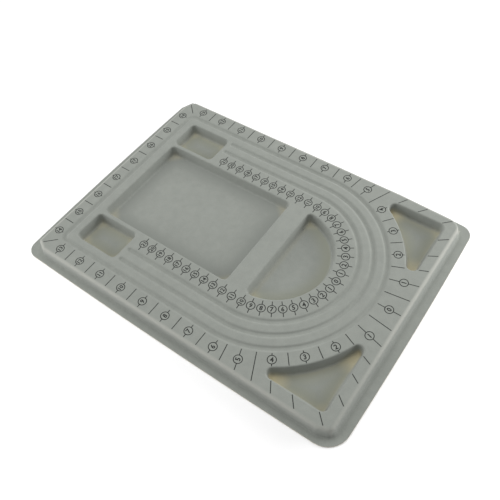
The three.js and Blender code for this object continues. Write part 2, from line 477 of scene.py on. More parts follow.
    def corner_outline(self, corner: float) -> Outline:
        """Far corner pocket: two straight sides and a hollow one along the channels' arc.

        Args:
            corner: Corner radius of its rim.

        Returns:
            The outline.
        """
        core = self.corner_arc + corner
        x = self.corner_x - corner
        y = self.corner_y - corner
        near = math.degrees(math.acos((x - self.centre_x) / core))
        far = math.degrees(math.asin(y / core))
        radius = corner + self.support
        return [
            Arc(x, core * math.sin(math.radians(near)), radius, near - 180, 0),
            Arc(x, y, radius, 0, 90),
            Arc(self.centre_x + core * math.cos(math.radians(far)), y, radius, 90, far + 180),
            Arc(self.centre_x, 0, self.corner_arc - self.support, far, near, Facet.SWEEP),
        ]

    def open_channel_outline(self, radius: float) -> Outline:
        """Channel along two legs and a half turn, with round ends on its legs.

        Args:
            radius: Radius of its centre line in the half turn.

        Returns:
            The outline.
        """
        half = self.channel_half + self.support
        end = self.channel_end_x
        return [
            Arc(self.centre_x, 0, radius + half, -90, 90, Facet.SWEEP),
            Arc(end, radius, half, 90, 270),
            Arc(self.centre_x, 0, radius - half, 90, -90, Facet.SWEEP),
            Arc(end, -radius, half, 90, 270),
        ]

    def loop_outline(self, reach: float) -> Outline:
        """Outline along the closed channel.

        Args:
            reach: How far it lies outside the channel's centre line.

        Returns:
            The outline.
        """
        radius = self.channel_radii[0]
        corner = self.channel_half + self.channel_inner_corner
        x = self.loop_end_x + corner
        y = radius - corner
        return [
            Arc(self.centre_x, 0, radius + reach, -90, 90, Facet.SWEEP),
            Arc(x, y, corner + reach, 90, 180),
            Arc(x, -y, corner + reach, 180, 270),
        ]

    def pocket_outlines(self) -> list[Outline]:
        """Outlines of all six pockets.

        Returns:
            The large, the half-round, the two small and the two corner pockets.
        """
        x0, x1, y0, y1 = self.small_box
        return [
            self.box_outline(*self.large_box),
            self.half_round_outline(),
            self.box_outline(x0, x1, y0, y1),
            self.box_outline(x0, x1, -y1, -y0),
            self.corner_outline(self.pocket_corner + self.far_corner_more),
            mirrored(self.corner_outline(self.pocket_corner)),
        ]


def mirrored(outline: Outline) -> Outline:
    """Outline on the other side of the board's long axis.

    Args:
        outline: The outline to mirror.

    Returns:
        Its mirror copy, which runs anticlockwise again.
    """
    return [Arc(a.x, -a.y, a.radius, -a.stop, -a.start, a.facet) for a in reversed(outline)]


class Bench:
    """Modelling operators, on one piece at a time."""

    @staticmethod
    def clear() -> None:
        """Leaves nothing selected."""
        bpy.ops.object.select_all(action="DESELECT")

    @staticmethod
    def pick(piece: Piece) -> None:
        """Makes a piece the one that operators act on.

        Args:
            piece: The piece.
        """
        Bench.clear()
        piece.select_set(True)
        bpy.context.view_layer.objects.active = piece

    @staticmethod
    @contextmanager
    def editing(piece: Piece, element: Element = Element.FACE, whole: bool = True) -> Iterator[None]:
        """Opens a piece for editing and closes it after the block.

        Args:
            piece: The piece to edit.
            element: What is selected in it.
            whole: Whether all of it is selected first; without it the piece's own selection stays.

        Yields:
            Nothing.
        """
        Bench.pick(piece)
        bpy.ops.object.mode_set(mode="EDIT")
        bpy.ops.mesh.select_mode(type=element.value)
        if whole:
            bpy.ops.mesh.select_all(action="SELECT")
        yield
        bpy.ops.object.mode_set(mode="OBJECT")

    @staticmethod
    def unselect(piece: Piece, element: Element) -> None:
        """Leaves nothing of a piece selected, before a part of it is selected in code."""
        with Bench.editing(piece, element):
            bpy.ops.mesh.select_all(action="DESELECT")

    @staticmethod
    def trace(outline: Outline, level: float, filled: bool = True) -> Piece:
        """Level face or loop on an outline, pulled into shape from a circle.

        Args:
            outline: Where the points of the circle go.
            level: Height of the face.
            filled: Whether the loop gets a face.

        Returns:
            The new piece.
        """
        walk = [point for arc in outline for point in arc.points()]
        points = [b for a, b in zip([walk[-1], *walk], walk) if math.dist(a, b) > TOUCH]
        Bench.clear()
        fill = "NGON" if filled else "NOTHING"
        bpy.ops.mesh.primitive_circle_add(vertices=len(points), radius=1, fill_type=fill)
        piece = bpy.context.active_object
        for vertex, (x, y) in zip(piece.data.vertices, points):
            vertex.co = (x, y, level)
        return piece

    @staticmethod
    def inset(piece: Piece, moves: Iterable[Point], keep: bool = True) -> None:
        """Draws a face in and down, step by step.

        Args:
            piece: A piece whose faces are all drawn together.
            moves: The sideways and the downward length of each step.
            keep: Whether the last face stays; without it the piece is left open.
        """
        with Bench.editing(piece):
            for across, down in moves:
                bpy.ops.mesh.inset(thickness=across, depth=-down, use_even_offset=True)
            if not keep:
                bpy.ops.mesh.delete(type="ONLY_FACE")

    @staticmethod
    def join(pieces: Sequence[Piece], name: str) -> Piece:
        """Joins pieces into one.

        Args:
            pieces: The pieces, of which the first takes up the others.
            name: Name of the joined piece.

        Returns:
            The joined piece.
        """
        Bench.pick(pieces[0])
        for piece in pieces[1:]:
            piece.select_set(True)
        bpy.ops.object.join()
        joined = bpy.context.active_object
        joined.name = name
        joined.data.name = name
        return joined

    @staticmethod
    def fill_level(piece: Piece, level: float) -> None:
        """Fills the level area between all the open edges that lie at one height.

        Args:
            piece: The piece to fill.
            level: Height of the edges.
        """
        Bench.unselect(piece, Element.EDGE)
        mesh = piece.data
        uses = Counter(key for face in mesh.polygons for key in face.edge_keys)
        for edge in mesh.edges:
            ends = [mesh.vertices[i] for i in edge.vertices]
            edge.select = uses[edge.key] < 2 and all(abs(v.co.z - level) < TOUCH for v in ends)
            for vertex in ends:
                vertex.select |= edge.select
        with Bench.editing(piece, Element.EDGE, whole=False):
            bpy.ops.mesh.fill(use_beauty=True)

    @staticmethod
    def face_up(piece: Piece) -> None:
        """Turns all the faces of an open sheet to the side on which its largest level face looks up.

        Args:
            piece: The sheet.
        """
        with Bench.editing(piece):
            bpy.ops.mesh.remove_doubles(threshold=TOUCH)
            bpy.ops.mesh.normals_make_consistent(inside=False)
        level = max(piece.data.polygons, key=lambda face: abs(face.normal.z) * face.area)
        if level.normal.z < 0:
            with Bench.editing(piece):
                bpy.ops.mesh.flip_normals()

    @staticmethod
    def thicken(piece: Piece, thickness: float) -> None:
        """Gives a sheet its thickness, on the side away from its faces.

        Args:
            piece: The sheet.
            thickness: Its thickness.
        """
        Bench.pick(piece)
        solidify = piece.modifiers.new("thickness", "SOLIDIFY")
        solidify.thickness = thickness
        solidify.offset = -1
        solidify.use_even_offset = True
        bpy.ops.object.modifier_apply(modifier=solidify.name)

    @staticmethod
    def lay(piece: Piece, ground: Piece, proud: float) -> None:
        """Lets a thin piece down onto another one.

        Args:
            piece: The thin piece, which hangs over its place.
            ground: The piece that it lies on.
            proud: How far it stays above the ground.
        """
        Bench.pick(piece)
        wrap = piece.modifiers.new("let_down", "SHRINKWRAP")
        wrap.target = ground
        wrap.wrap_method = "PROJECT"
        wrap.use_project_z = True
        wrap.use_positive_direction = False
        wrap.use_negative_direction = True
        bpy.ops.object.modifier_apply(modifier=wrap.name)
        piece.data.transform(Matrix.Translation((0, 0, proud)))

    @staticmethod
    def smooth(piece: Piece, angle: float = 35) -> None:
        """Shades a piece smooth, apart from edges sharper than an angle."""
        Bench.pick(piece)
        bpy.ops.object.shade_smooth_by_angle(angle=math.radians(angle))

    @staticmethod
    def copy(piece: Piece, place: Matrix) -> Piece:
        """Copies a piece, with a mesh of its own, to a place.

        Args:
            piece: The piece to copy.
            place: Where the copy goes.

        Returns:
            The copy.
        """
        twin = piece.copy()
        twin.data = piece.data.copy()
        twin.data.transform(place)
        bpy.context.scene.collection.objects.link(twin)
        return twin

    @staticmethod
    def paint(piece: Piece, material: Material) -> None:
        """Gives a piece its one material."""
        piece.data.materials.clear()
        piece.data.materials.append(material)

    @staticmethod
    def scrap(pieces: Iterable[Piece]) -> None:
        """Removes pieces that served as patterns."""
        for piece in pieces:
            bpy.data.objects.remove(piece)


class Signal:
    """Number inside a material; arithmetic on it adds the nodes that it needs."""

    def __init__(self, graph: "Graph", socket: bpy.types.NodeSocket) -> None:
        """Wraps an output socket of a graph."""
        self.graph = graph
        self.socket = socket

    def math(self, operation: str, *others: Any) -> "Signal":
        """Result of a Math node whose first value is this one."""
        return self.graph.math(operation, self, *others)

    def __add__(self, other: Any) -> "Signal":
        """Sum."""
        return self.math("ADD", other)

    __radd__ = __add__

    def __sub__(self, other: Any) -> "Signal":
        """Difference."""
        return self.math("SUBTRACT", other)

    def __rsub__(self, other: Any) -> "Signal":
        """Difference from a plain number."""
        return self.graph.math("SUBTRACT", other, self)

    def __mul__(self, other: Any) -> "Signal":
        """Product."""
        return self.math("MULTIPLY", other)

    __rmul__ = __mul__

    def __abs__(self) -> "Signal":
        """Size without its sign."""
        return self.math("ABSOLUTE")

    def fade(self, start: float, stop: float) -> "Signal":
        """Smooth step from 0 at `start` to 1 at `stop`."""
        ends = {"From Min": start, "From Max": stop, "Value": self}
        return self.graph.node("ShaderNodeMapRange", {"interpolation_type": "SMOOTHSTEP"}, ends)


class Graph:
    """Node tree of one material."""

    FACTOR, FIRST, SECOND, RESULT = 0, 6, 7, 2  # sockets of a Mix node that are used for colours

    def __init__(self, name: str) -> None:
        """Starts a material with a bare surface shader.

        Args:
            name: Name of the material.
        """
        self.material = bpy.data.materials.new(name)
        self.material.use_nodes = True
        self.tree = self.material.node_tree
        self.shader = self.tree.nodes["Principled BSDF"]

    def node(self, kind: str, settings: dict[str, Any], inputs: dict[Any, Any], output: Any = 0) -> Signal:
        """Adds a node.

        Args:
            kind: Type of the node.
            settings: Its settings, which are set first.
            inputs: A value or a link for each of its sockets that is used.
            output: The socket to return.

        Returns:
            The node's output.
        """
        node = self.tree.nodes.new(kind)
        for name, value in settings.items():
            setattr(node, name, value)
        self.feed(node, inputs)
        return Signal(self, node.outputs[output])

    def feed(self, node: bpy.types.Node, inputs: dict[Any, Any]) -> None:
        """Sets or links the sockets of a node.

        Args:
            node: The node.
            inputs: A value or a link for each socket.
        """
        for key, value in inputs.items():
            if isinstance(value, Signal):
                self.tree.links.new(value.socket, node.inputs[key])
            else:
                node.inputs[key].default_value = value

    def math(self, operation: str, *values: Any) -> Signal:
        """Adds a Math node on values in order."""
        return self.node("ShaderNodeMath", {"operation": operation}, dict(enumerate(values)))

    def place(self) -> Signal:
        """Place on the piece, in the frame of the board."""
        return self.node("ShaderNodeTexCoord", {}, {}, "Object")

    def measure(self, operation: str, place: Signal, other: tuple[float, float, float]) -> Signal:
        """Length from a Vector Math node, such as a place's distance from another one."""
        return self.node("ShaderNodeVectorMath", {"operation": operation}, {0: place, 1: other}, "Value")

    def split(self, vector: Signal) -> list[Signal]:
        """Parts of a vector."""
        parts = self.node("ShaderNodeSeparateXYZ", {}, {0: vector}).socket.node
        return [Signal(self, socket) for socket in parts.outputs]

    def noise(self, place: Signal, grain: float, detail: float = 2, roughness: float = 0.5) -> Signal:
        """Noise from 0 to 1 with a grain of the given length."""
        inputs = {"Vector": place, "Scale": 1 / grain, "Detail": detail, "Roughness": roughness}
        return self.node("ShaderNodeTexNoise", {}, inputs)

    def mix(self, factor: Signal, first: Any, second: Any) -> Signal:
        """Colour between two colours."""
        inputs = {self.FACTOR: factor, self.FIRST: opaque(first), self.SECOND: opaque(second)}
        return self.node("ShaderNodeMix", {"data_type": "RGBA"}, inputs, self.RESULT)

    def bump(self, height: Signal, distance: float, strength: float) -> Signal:
        """Normal that is tilted by a height from 0 to 1, which stands for `distance`."""
        inputs = {"Height": height, "Distance": distance, "Strength": strength}
        return self.node("ShaderNodeBump", {}, inputs)

    def surface(self, **inputs: Any) -> Material:
        """Sets the sockets of the surface shader, whose names are written with underscores."""
        self.feed(self.shader, {name.replace("_", " "): opaque(value) for name, value in inputs.items()})
        return self.material


def opaque(value: Any) -> Any:
    """Gives a plain colour its fourth number and returns anything else as it is."""
    return (*value, 1) if isinstance(value, tuple) and len(value) == 3 else value


@dataclass(frozen=True)
class PocketFeet:
    """Distances from the feet of a pocket's walls, counted inwards."""

    walls: list[Signal]
    tinged: list[Signal]  # from the walls along which the floor is tinted, or in the large pocket darkened with painted shade
    creased: list[Signal]  # from the walls along whose foot the floor turns paler and yellower
    corners: list[tuple[Signal, Signal, float]]  # from two walls that meet, and the share of the thinning


@dataclass(frozen=True)
class FlockFinish:
    """Short grey fibres, thin in the corners of the pockets, with a painted highlight on the outer shoulder
    and painted shade along the large pocket's walls.
    """

    fibre: Colour = (0.263, 0.277, 0.252)
    # darker tone of the fibres; the same colour is the painted shade along the large pocket's walls
    shade: Colour = (0.216, 0.229, 0.209)
    # colour of the painted highlight along the outer shoulder
    spread: Colour = (0.335, 0.341, 0.31)
    olive: Colour = (0.236, 0.245, 0.2)
    thin: Colour = (0.45, 0.405, 0.265)

    fibre_grain: float = 0.35 * MM
    nap_grain: float = 7 * MM
    cloud_grain: float = 45 * MM
    fibre_share: float = 0.55  # of the fibres in the tone
    nap_share: float = 0.3
    cloud_share: float = 0.15
    tone_range: Span = (0.3, 0.7)  # between the shade and the colour of the fibres
    pile: float = 0.12 * MM  # height that the bump stands for
    pile_shares: Point = (0.7, 0.3)  # of the fibres and of the nap in the bump

    band_start: Span = (-0.25, 0.65)  # where the painted highlight sets in, in radii of the shoulder
    band_end: Span = (0.8, 1.2)
    dense_share: float = 0.5  # of the painted highlight that is left on the near part of the right end, where less light falls
    # painted falloff of the light: the highlight fades towards this place, over these distances
    dense_place: Point = (215 * MM, -95 * MM)
    dense_reach: Span = (50 * MM, 100 * MM)

    edge_width: float = 15 * MM  # how far a tinge, or the painted shade in the large pocket, reaches out from a pocket's wall
    edge_climb: float = 2 * MM  # how far it climbs the wall, sideways
    olive_strength: Point = (0.7, 0.4)  # without the nap, and what the nap adds
    corner_width: float = 12 * MM  # how far the thin flock reaches out of a pocket's corner
    corner_climb: float = 4.5 * MM  # how far it climbs the wall, sideways
    corner_height: float = 7 * MM  # how far it climbs the wall, upwards
    thin_strength: Point = (0.6, 0.6)  # without the nap, and what the nap adds
    blunt_share: float = 0.35  # of the thinning, in corners that are not acute
    crease_share: float = 0.12  # of the paler, yellower tint, along the foot of a pocket's wall
    crease_width: float = 4 * MM
    crease_climb: float = 1 * MM
    floor_play: float = 0.3 * MM  # height over the floors up to which nothing fades

    def material(self, plan: BoardPlan) -> Material:
        """Builds the material.

        Args:
            plan: Where the shoulder and the pockets lie.

        Returns:
            The material.
        """
        graph = Graph("grey_flock")
        place = graph.place()
        fibres = graph.noise(place, self.fibre_grain, roughness=0.7)
        nap = graph.noise(place, self.nap_grain, detail=3, roughness=0.6)
        clouds = graph.noise(place, self.cloud_grain, detail=1)
        tone = fibres * self.fibre_share + nap * self.nap_share + clouds * self.cloud_share
        colour = graph.mix(tone.fade(*self.tone_range), self.shade, self.fibre)
        # painted highlight along the outer shoulder
        colour = graph.mix(self.shoulder(graph, plan, place), colour, self.spread)
        painted_wall_shade, edges, corners = self.thinness(graph, plan, place)
        # painted shade along the walls of the large pocket
        colour = graph.mix(painted_wall_shade, colour, self.shade)
        for mask, (least, more), tint in (
            (edges, self.olive_strength, self.olive),
            (corners, self.thin_strength, self.thin),
        ):
            colour = graph.mix(mask * (least + more * nap), colour, tint)
        relief = fibres * self.pile_shares[0] + nap * self.pile_shares[1]
        return graph.surface(
            Base_Color=colour,
            Roughness=1.0,
            Specular_IOR_Level=0.1,
            Sheen_Weight=0.12,
            Sheen_Roughness=0.6,
            Normal=graph.bump(relief, self.pile, strength=0.6),
        )

    def shoulder(self, graph: Graph, plan: BoardPlan, place: Signal) -> Signal:
        """Painted highlight where the flat top turns into the outer wall, weaker towards the near right
        corner.

        Args:
            graph: The material's node tree.
            plan: Where the flat top ends.
            place: Place on the board.

        Returns:
            A mask of the painted highlight along the shoulder.
        """
        sides = plan.top.sides()
        reaches = [graph.measure("DOT_PRODUCT", place, (*side.normal, 0)) - side.reach for side in sides]
        out = self.most(reaches)
        start, end = ([share * plan.shoulder for share in span] for span in (self.band_start, self.band_end))
        band = out.fade(*start) * (1 - out.fade(*end))
        # painted falloff of the light: the shoulder highlight is weaker towards the near right corner
        away = graph.measure("DISTANCE", place, (*self.dense_place, plan.height))
        return band * (self.dense_share + (1 - self.dense_share) * away.fade(*self.dense_reach))

    def thinness(self, graph: Graph, plan: BoardPlan, place: Signal) -> tuple[Signal, Signal, Signal]:
        """How the flock is tinted on the pockets' floors, with painted shade along the large pocket's walls.

        Args:
            graph: The material's node tree.
            plan: Where the pockets lie.
            place: Place on the board.

        Returns:
            A mask of painted shade along the walls of the large pocket, one of tint along the other walls
            and one in the corners.
        """
        x, y, z = graph.split(place)
        edges = []
        corners = []
        for pocket in self.feet(plan, x, abs(y)):
            inner = self.least(pocket.walls)
            edge = self.least(pocket.tinged)
            edges.append(inner.fade(-self.edge_climb, 0) * (1 - edge.fade(0, self.edge_width)))
            inside = inner.fade(-self.corner_climb, 0)
            if pocket.creased:
                crease = self.least(pocket.creased).fade(-self.crease_climb, self.crease_width)
                corners.append(inside * (1 - crease) * self.crease_share)
            for first, second, share in pocket.corners:
                corners.append(inside * (1 - (first + second).fade(0, self.corner_width)) * share)
        level = plan.floor_height
        floor = 1 - z.fade(level + self.floor_play, level + plan.pocket_fillet)
        low = 1 - z.fade(level + self.floor_play, level + self.corner_height)
        # first mask: painted shade along the large pocket's walls; the other two: tints of the flock
        return edges[0] * floor, self.most(edges[1:]) * floor, self.most(corners) * low

    def feet(self, plan: BoardPlan, x: Signal, y: Signal) -> list[PocketFeet]:
        """Distances from the feet of the walls, in each kind of pocket.

        Args:
            plan: Where the pockets lie.
            x: Place along the board.
            y: Place across the board, to either side of its middle.

        Returns:
            Those of the large pocket first, then of the small, the half-round and the corner pockets.
        """
        across = x - plan.centre_x
        radius = (across * across + y * y).math("SQRT")
        foot = plan.pocket.spread
        blunt = self.blunt_share
        pockets = []
        for (x0, x1, y0, y1), creased in ((plan.large_box, False), (plan.small_box, True)):
            ends = ((x1 - x0) / 2 - abs(x - (x0 + x1) / 2)) - foot
            sides = ((y1 - y0) / 2 - abs(y - max(0, (y0 + y1) / 2))) - foot
            walls = [ends, sides]
            pockets.append(PocketFeet(walls, walls, walls if creased else [], [(ends, sides, blunt)]))
        straight = across - foot
        arc = plan.half_round_radius - foot - radius
        pockets.append(PocketFeet([straight, arc], [arc], [straight], [(straight, arc, blunt)]))
        hollow = self.least([radius - plan.corner_arc - foot, across])
        end = plan.corner_x - foot - x
        side = plan.corner_y - foot - y
        walls = [hollow, end, side]
        tips = [(hollow, end, 1), (hollow, side, 1), (end, side, blunt)]
        pockets.append(PocketFeet(walls, walls, walls, tips))
        return pockets

    @staticmethod
    def most(masks: list[Signal]) -> Signal:
        """Greatest of several masks."""
        return reduce(lambda one, two: one.math("MAXIMUM", two), masks)

    @staticmethod
    def least(lengths: list[Signal]) -> Signal:
        """Least of several lengths."""
        return reduce(lambda one, two: one.math("MINIMUM", two), lengths)


@dataclass(frozen=True)
class PlasticFinish:
    """Cream sheet, satin on its drawn underside."""

    cream: Colour = (0.5, 0.455, 0.35)
    pale: Colour = (0.58, 0.535, 0.43)
    cloud_grain: float = 30 * MM
    cloud_range: Span = (0.3, 0.7)
    skin_grain: float = 1.2 * MM
    skin_relief: float = 0.05 * MM
    satin: float = 0.36  # least roughness
    skin_roughness: float = 0.2  # what the skin adds to it

    def material(self) -> Material:
        """Builds the material.

        Returns:
            The material.
        """
        graph = Graph("cream_plastic")
        place = graph.place()
        clouds = graph.noise(place, self.cloud_grain, detail=3)
        skin = graph.noise(place, self.skin_grain, detail=3)
        return graph.surface(
            Base_Color=graph.mix(clouds.fade(*self.cloud_range), self.cream, self.pale),
            Roughness=self.satin + self.skin_roughness * skin,
            Specular_IOR_Level=0.45,
            Normal=graph.bump(skin, self.skin_relief, strength=0.5),
        )


@dataclass(frozen=True)
class InkFinish:
    """Dark ink that lies on the tips of the fibres and lets a few of them show."""

    ink: Colour = (0.02, 0.022, 0.02)
    gap: Colour = (0.06, 0.064, 0.058)
    gap_range: Span = (0.45, 0.75)
    fibre_grain: float = 0.3 * MM
    fibre_relief: float = 0.1 * MM
    matt: float = 0.8  # least roughness
    fibre_roughness: float = 0.2  # what the fibres add to it

    def material(self) -> Material:
        """Builds the material.

        Returns:
            The material.
        """
        graph = Graph("scale_ink")
        fibres = graph.noise(graph.place(), self.fibre_grain, roughness=0.7)
        return graph.surface(
            Base_Color=graph.mix(fibres.fade(*self.gap_range), self.ink, self.gap),
            Roughness=self.matt + self.fibre_roughness * fibres,
            Specular_IOR_Level=0.2,
            Normal=graph.bump(fibres, self.fibre_relief, strength=0.5),
        )


@dataclass
class FormedLayer:
    """One layer of the board, drawn over the same mould as the other: the sheet or the flock."""

    name: str
    node: str
    slot: Slot
    plan: BoardPlan
    depth: float  # of its upper face under the face of the flock
    thickness: float
    bow_cuts: int = 7  # with which a side of the lip follows its bow

    @property
    def top(self) -> float:
        """Height of the layer's flat top."""
        return self.plan.height - self.depth

    @property
    def lip(self) -> float:
        """Height of the layer's lip."""
        return self.plan.layers - self.depth

    def build(self) -> Piece:
        """Models the layer as one closed skin.

        Returns:
            The piece.
        """
        plan = self.plan
        parts = [self.wall(), self.cut_edge(), self.loop()]
        parts += [self.hollow(outline, plan.pocket) for outline in plan.pocket_outlines()]
        for radius in plan.channel_radii[1:]:
            parts.append(self.hollow(plan.open_channel_outline(radius), plan.groove))
        piece = Bench.join(parts, self.name)
        Bench.fill_level(piece, self.top)
        Bench.fill_level(piece, self.lip)
        Bench.face_up(piece)
        Bench.thicken(piece, self.thickness)
        Bench.smooth(piece)
        return piece

    def cut_edge(self) -> Piece:
        """Draws the cut edge of the lip, with its sides bowed.

        Returns:
            The loop of edges.
        """
        plan = self.plan
        piece = Bench.trace(plan.lip_outline(), self.lip, filled=False)
        with Bench.editing(piece, Element.EDGE):
            bpy.ops.mesh.subdivide(number_cuts=self.bow_cuts)
        for vertex in piece.data.vertices:
            x, y, z = vertex.co
            along = 1 - 2 * plan.lip_bow / plan.length * (2 * y / plan.width) ** 2
            across = 1 - 2 * plan.lip_bow / plan.width * (2 * x / plan.length) ** 2
            vertex.co = (x * along, y * across, z)
        return piece

    def wall(self) -> Piece:
        """Draws the outer wall up from its foot and leaves it open at the top.

        Returns:
            The wall.
        """
        plan = self.plan
        piece = Bench.trace(plan.foot_outline(), self.lip)
        rising = [(across, -down) for across, down in reversed(plan.wall.moves(self.depth))]
        Bench.inset(piece, rising + [(plan.support, 0)], keep=False)
        for vertex in piece.data.vertices:
            drop = (plan.height - vertex.co.z) / plan.wall.rise
            vertex.co.x += math.copysign(plan.end_lean * drop, vertex.co.x)
        return piece

    def hollow(self, outline: Outline, bend: Bend) -> Piece:
        """Draws a pocket or a channel down from the level strip round its rim.

        Args:
            outline: Outer edge of the strip.
            bend: Section of the sides.

        Returns:
            The pocket or channel, with its floor.
        """
        piece = Bench.trace(outline, self.top)
        Bench.inset(piece, [(self.plan.support, 0), *bend.moves(self.depth)])
        return piece

    def loop(self) -> Piece:
        """Draws the closed channel down from a ring of faces between its two rims.

        Returns:
            The channel, with its floor.
        """
        plan = self.plan
        reach = plan.channel_half + plan.support
        outlines = [plan.loop_outline(side) for side in (reach, -reach)]
        rims = [Bench.trace(outline, self.top, filled=False) for outline in outlines]
        piece = Bench.join(rims, "loop_channel")
        with Bench.editing(piece, Element.EDGE):
            bpy.ops.mesh.bridge_edge_loops()
        Bench.face_up(piece)
        Bench.inset(piece, [(plan.support, 0), *plan.groove.moves(self.depth)])
        return piece

    def dress(self, piece: Piece, material: Material) -> None:
        """Gives the piece its finish and its place in the frame.

        Args:
            piece: The built layer.
            material: Its finish.
        """
        Bench.paint(piece, material)
        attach(piece, BODY)
        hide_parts(self.node)


@dataclass
class PrintedScale:
    """Printed marks on the flat top: lines, rings and numbers in a thin film of ink."""

    name: str
    plan: BoardPlan
    line: float = 0.7 * MM
    ring: float = 4.0 * MM  # outer radius
    digit: float = 4.4 * MM  # height of a one-digit number
    two_digits: float = 3.9 * MM
    bold: float = 0.027  # swelling of a number's strokes, of its type size
    curve_steps: int = 2  # between two points on the outline of a number
    line_steps: int = 16  # with which a line follows the flock over a rim
    hang: float = 4.0 * MM  # height over the flat top from which the marks are let down
    proud: float = 0.03 * MM  # of the ink over the face of the flock
    film: float = 0.05 * MM
    ring_pattern: Piece = field(init=False)
    line_pattern: Piece = field(init=False)
    digit_patterns: dict[str, Piece] = field(init=False, default_factory=dict)
    marks: list[Piece] = field(init=False, default_factory=list)

    def build(self, ground: Piece) -> Piece:
        """Models the scale as one film.

        Args:
            ground: The piece that the film lies on.

        Returns:
            The piece.
        """
        self.ring_pattern = self.make_ring()
        self.line_pattern = self.make_line()
        self.draw()
        Bench.scrap([self.ring_pattern, self.line_pattern, *self.digit_patterns.values()])
        piece = Bench.join(self.marks, self.name)
        with Bench.editing(piece):
            bpy.ops.mesh.dissolve_degenerate(threshold=TOUCH)
        self.turn_up(piece)
        Bench.lay(piece, ground, self.proud)
        self.deepen(piece)
        return piece

    def draw(self) -> None:
        """Draws every mark of the scale."""
        raise NotImplementedError

    @staticmethod
    def turn_up(piece: Piece) -> None:
        """Turns the faces of the flat marks up.

        Args:
            piece: The marks.
        """
        Bench.unselect(piece, Element.FACE)
        for face in piece.data.polygons:
            face.select = face.normal.z < 0
        with Bench.editing(piece, whole=False):
            bpy.ops.mesh.flip_normals()

    def deepen(self, piece: Piece) -> None:
        """Gives the film its thickness, into the flock.

        Args:
            piece: The marks, where they lie on the flock.
        """
        with Bench.editing(piece):
            bpy.ops.mesh.extrude_region_move(TRANSFORM_OT_translate={"value": (0, 0, -self.film)})
            bpy.ops.mesh.select_all(action="SELECT")
            bpy.ops.mesh.normals_make_consistent(inside=False)

    def make_ring(self) -> Piece:
        """Models the pattern of a ring, at the origin.

        Returns:
            The pattern.
        """
        circle = [Arc(0, 0, self.ring, 0, 360)]
        piece = Bench.trace(circle, 0)
        with Bench.editing(piece):
            bpy.ops.mesh.inset(thickness=self.line, use_even_offset=True)
            bpy.ops.mesh.delete(type="FACE")
        return piece

    def make_line(self) -> Piece:
        """Models the pattern of a line: one unit long, from the origin along X.

        Returns:
            The pattern.
        """
        Bench.clear()
        bpy.ops.mesh.primitive_grid_add(x_subdivisions=self.line_steps, y_subdivisions=1, size=1)
        piece = bpy.context.active_object
        with Bench.editing(piece):
            bpy.ops.transform.translate(value=(0.5, 0, 0))
            bpy.ops.transform.resize(value=(1, self.line, 1), center_override=(0, 0, 0))
        return piece

    def make_digits(self, label: str) -> Piece:
        """Models the pattern of a number, centred on the origin, with its top towards +Y.

        Args:
            label: The number.

        Returns:
            The pattern.
        """
        Bench.clear()
        bpy.ops.object.text_add(location=(0, 0, 0))
        piece = bpy.context.active_object
        piece.data.body = label
        piece.data.resolution_u = self.curve_steps
        piece.data.offset = self.bold
        bpy.ops.object.convert(target="MESH")
        piece = bpy.context.active_object
        corners = [Vector(corner) for corner in piece.bound_box]
        low = Vector(map(min, *corners))
        high = Vector(map(max, *corners))
        height = self.digit if len(label) == 1 else self.two_digits
        size = height / (high.y - low.y)
        piece.data.transform(Matrix.Scale(size, 4) @ Matrix.Translation(-(low + high) / 2))
        return piece

    def put(self, pattern: Piece, x: float, y: float, turn: float, scale: float = 1) -> None:
        """Copies a pattern onto the flat top.

        Args:
            pattern: The pattern.
            x: Place along the board.
            y: Place across the board.
            turn: Turn about the vertical, in radians.
            scale: Stretch along the pattern's X.
        """
        stretch = Matrix.Scale(scale, 4, (1, 0, 0))
        place = Matrix.Translation((x, y, self.plan.height + self.hang))
        self.marks.append(Bench.copy(pattern, place @ Matrix.Rotation(turn, 4, "Z") @ stretch))

    def stroke(self, start: Vector, stop: Vector) -> None:
        """Draws a line between two points."""
        run = stop - start
        self.put(self.line_pattern, start.x, start.y, math.atan2(run.y, run.x), run.length)

    def mark(self, start: Vector, stop: Vector, label: str = "", top: Vector | None = None) -> None:
        """Draws a line, with a numbered ring halfway along it where it has a label.

        Args:
            start: End of the line towards the middle of the board.
            stop: End of the line towards the edge.
            label: The number in the ring.
            top: Where the number's top points; to the start of the line if it is left out.
        """
        if not label:
            self.stroke(start, stop)
            return
        run = (stop - start).normalized()
        middle = (start + stop) / 2
        gap = run * (self.ring - self.line / 2)
        self.stroke(start, middle - gap)
        self.stroke(middle + gap, stop)
        self.put(self.ring_pattern, middle.x, middle.y, 0)
        if label not in self.digit_patterns:
            self.digit_patterns[label] = self.make_digits(label)
        top = top or -run
        self.put(self.digit_patterns[label], middle.x, middle.y, math.atan2(top.y, top.x) - math.pi / 2)

    @staticmethod
    def across(out: Vector, side: int) -> Vector:
        """Direction across a line that points out, towards the square end."""
        return side * Vector((-out.y, out.x))

    def dress(self, piece: Piece, material: Material) -> None:
        """Gives the piece its ink and its place in the frame.

        Args:
            piece: The built scale.
            material: Its ink.
        """
        Bench.paint(piece, material)
        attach(piece, BODY)


@dataclass
class CentimetreScale(PrintedScale):
    """Inner scale, numbered both ways from the middle of the round end."""

    radius: float = 60.8 * MM
    reach: float = 7.4 * MM  # of a line to either side of the radius
    pitch: float = 10 * MM
    turn: float = 8.554  # between two marks on the arc
    arc_marks: int = 10
    upright: int = 9  # last number whose top points to the arcs' centre
    last: int = 21
    straight_start: float = 104.67 * MM  # where the zero of the straight legs would lie

    def draw(self) -> None:
        """Draws every mark of the scale."""
        centre = Vector((self.plan.centre_x, 0))
        for number in range(self.last + 1):
            for side in (-1, 1) if number else (1,):
                if number <= self.arc_marks:
                    angle = math.radians(self.turn * number)
                    out = Vector((math.cos(angle), side * math.sin(angle)))
                    base = centre
                else:
                    out = Vector((0, side))
                    base = centre + Vector((self.straight_start - self.pitch * number, 0))
                start, stop = (base + out * (self.radius + step) for step in (-self.reach, self.reach))
                top = self.across(out, side) if number > self.upright else -out
                self.mark(start, stop, str(number), top)


